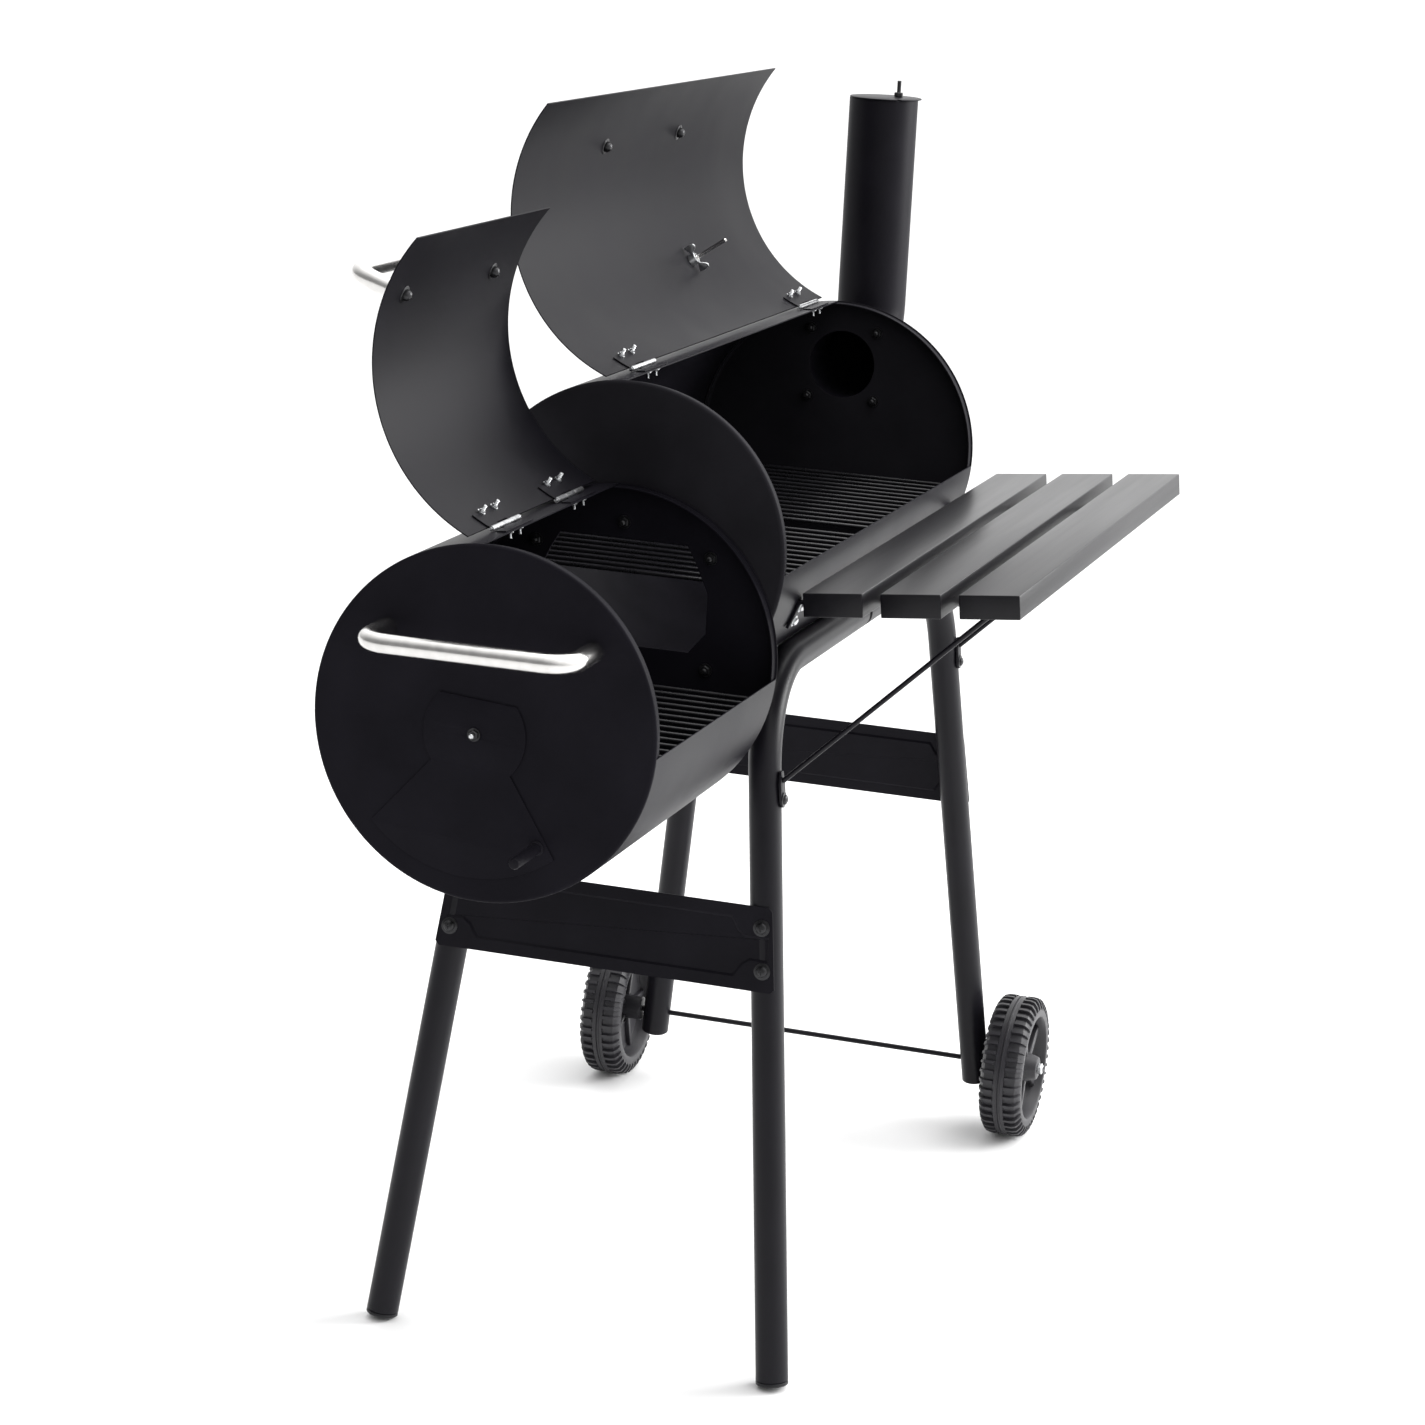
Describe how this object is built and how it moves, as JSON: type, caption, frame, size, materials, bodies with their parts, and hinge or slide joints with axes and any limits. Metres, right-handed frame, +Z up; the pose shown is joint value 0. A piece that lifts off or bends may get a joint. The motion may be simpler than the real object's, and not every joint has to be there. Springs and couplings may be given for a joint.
{
  "type": "barrel charcoal grill",
  "caption": "Charcoal barrel grill with a lower offset fire box, hinged curved lids, chimney, slatted front shelf, tube legs and two wheels.",
  "frame": {"origin": "on the ground under the middle of the grill's bounding box", "axes": "+X along the barrels from the fire box to the chimney, -Y to the shelf side (front), +Z up"},
  "size_m": [1.2996, 0.6718, 1.2195],
  "materials": {
    "black_enamel": "matte heat-resistant powder coat",
    "black_steel_tube": "satin black powder coat",
    "stainless": "satin brushed stainless steel",
    "galvanised": "bright zinc plate",
    "black_wood": "satin black paint on wood",
    "black_plastic": "moulded, matte",
    "grate_steel": "semi-gloss black enamel",
    "dial_glass": "clear",
    "needle_red": "red paint"
  },
  "bodies": {
    "grill_body": {"main_barrel": "black_enamel", "main_end_cap_firebox_side": "black_enamel", "main_end_cap_chimney_side": "black_enamel", "firebox_barrel": "black_enamel", "firebox_end_cap_inner": "black_enamel", "firebox_end_cap_outer": "black_enamel", "chimney_pipe": "black_enamel", "chimney_flange": "black_enamel", "chimney_cap_bracket": "galvanised", "chimney_cap_nut": "galvanised", "end_handle": "stainless", "damper_pivot_screw": "galvanised", "main_barrel_hinge_leaf_left": "galvanised", "main_barrel_hinge_leaf_right": "galvanised", "firebox_barrel_hinge_leaf_left": "galvanised", "firebox_barrel_hinge_leaf_right": "galvanised", "main_hinge_pin_left": "galvanised", "main_hinge_pin_right": "galvanised", "firebox_hinge_pin_left": "galvanised", "firebox_hinge_pin_right": "galvanised", "leg_left_front": "black_steel_tube", "leg_left_back": "black_steel_tube", "leg_right_front": "black_steel_tube", "leg_right_back": "black_steel_tube", "rail_front": "black_steel_tube", "rail_back": "black_steel_tube", "foot_plug_front": "black_plastic", "foot_plug_back": "black_plastic", "end_panel_left": "black_enamel", "end_panel_right": "black_enamel", "axle": "black_steel_tube", "axle_nut_front": "galvanised", "axle_nut_back": "galvanised", "shelf_slat_inner": "black_wood", "shelf_slat_middle": "black_wood", "shelf_slat_front": "black_wood", "shelf_bar_left": "black_enamel", "shelf_bar_right": "black_enamel", "shelf_stay_left": "black_steel_tube", "shelf_stay_right": "black_steel_tube"},
    "main_lid": {"main_lid": "black_enamel", "main_lid_handle": "stainless", "main_lid_hinge_leaf_left": "galvanised", "main_lid_hinge_leaf_right": "galvanised", "thermometer_case": "stainless", "thermometer_glass": "dial_glass", "thermometer_wing_nut": "galvanised"},
    "thermometer_needle": {"thermometer_needle": "needle_red"},
    "firebox_lid": {"firebox_lid": "black_enamel", "firebox_lid_handle": "stainless", "firebox_lid_hinge_leaf_left": "galvanised", "firebox_lid_hinge_leaf_right": "galvanised"},
    "chimney_cap": {"chimney_cap": "black_enamel"},
    "air_damper": {"air_damper": "black_enamel", "damper_peg": "black_enamel"},
    "wheel_front": {"wheel_front": "black_plastic"},
    "wheel_back": {"wheel_back": "black_plastic"},
    "cooking_grate_left": {"cooking_grate_left": "grate_steel"},
    "cooking_grate_right": {"cooking_grate_right": "grate_steel"},
    "firebox_grate": {"firebox_grate": "grate_steel"}
  },
  "joints": [
    {"name": "main_lid_hinge", "type": "hinge", "parent": "grill_body", "child": "main_lid", "pos_m": [0.1382, 0.07759, 0.96861], "axis": [1, 0, 0], "range_deg": [0, 151]},
    {"name": "firebox_lid_hinge", "type": "hinge", "parent": "grill_body", "child": "firebox_lid", "pos_m": [-0.4013, 0.07759, 0.87101], "axis": [1, 0, 0], "range_deg": [0, 148]},
    {"name": "thermometer_needle_turn", "type": "hinge", "parent": "main_lid", "child": "thermometer_needle", "pos_m": [0.2406, 0.16034, 1.02376], "axis": [0, 0.8241, -0.5664], "range_deg": [-270, 0]},
    {"name": "chimney_cap_swivel", "type": "hinge", "parent": "grill_body", "child": "chimney_cap", "pos_m": [0.6218, 0.0399, 1.1882], "axis": [0, 0, 1], "continuous": true},
    {"name": "air_damper_swivel", "type": "hinge", "parent": "grill_body", "child": "air_damper", "pos_m": [-0.5797, 0.0618, 0.701], "axis": [1, 0, 0], "range_deg": [-80, 80]},
    {"name": "wheel_front_spin", "type": "hinge", "parent": "grill_body", "child": "wheel_front", "pos_m": [0.5564, -0.1915, 0.0824], "axis": [0, 1, 0], "continuous": true},
    {"name": "wheel_back_spin", "type": "hinge", "parent": "grill_body", "child": "wheel_back", "pos_m": [0.5564, 0.3013, 0.0824], "axis": [0, 1, 0], "continuous": true},
    {"name": "cooking_grate_left_lift", "type": "slide", "parent": "grill_body", "child": "cooking_grate_left", "axis": [0, 0, 1], "range_m": [0, 0.055]},
    {"name": "cooking_grate_right_lift", "type": "slide", "parent": "grill_body", "child": "cooking_grate_right", "axis": [0, 0, 1], "range_m": [0, 0.055]},
    {"name": "firebox_grate_lift", "type": "slide", "parent": "grill_body", "child": "firebox_grate", "axis": [0, 0, 1], "range_m": [0, 0.055]}
  ]
}
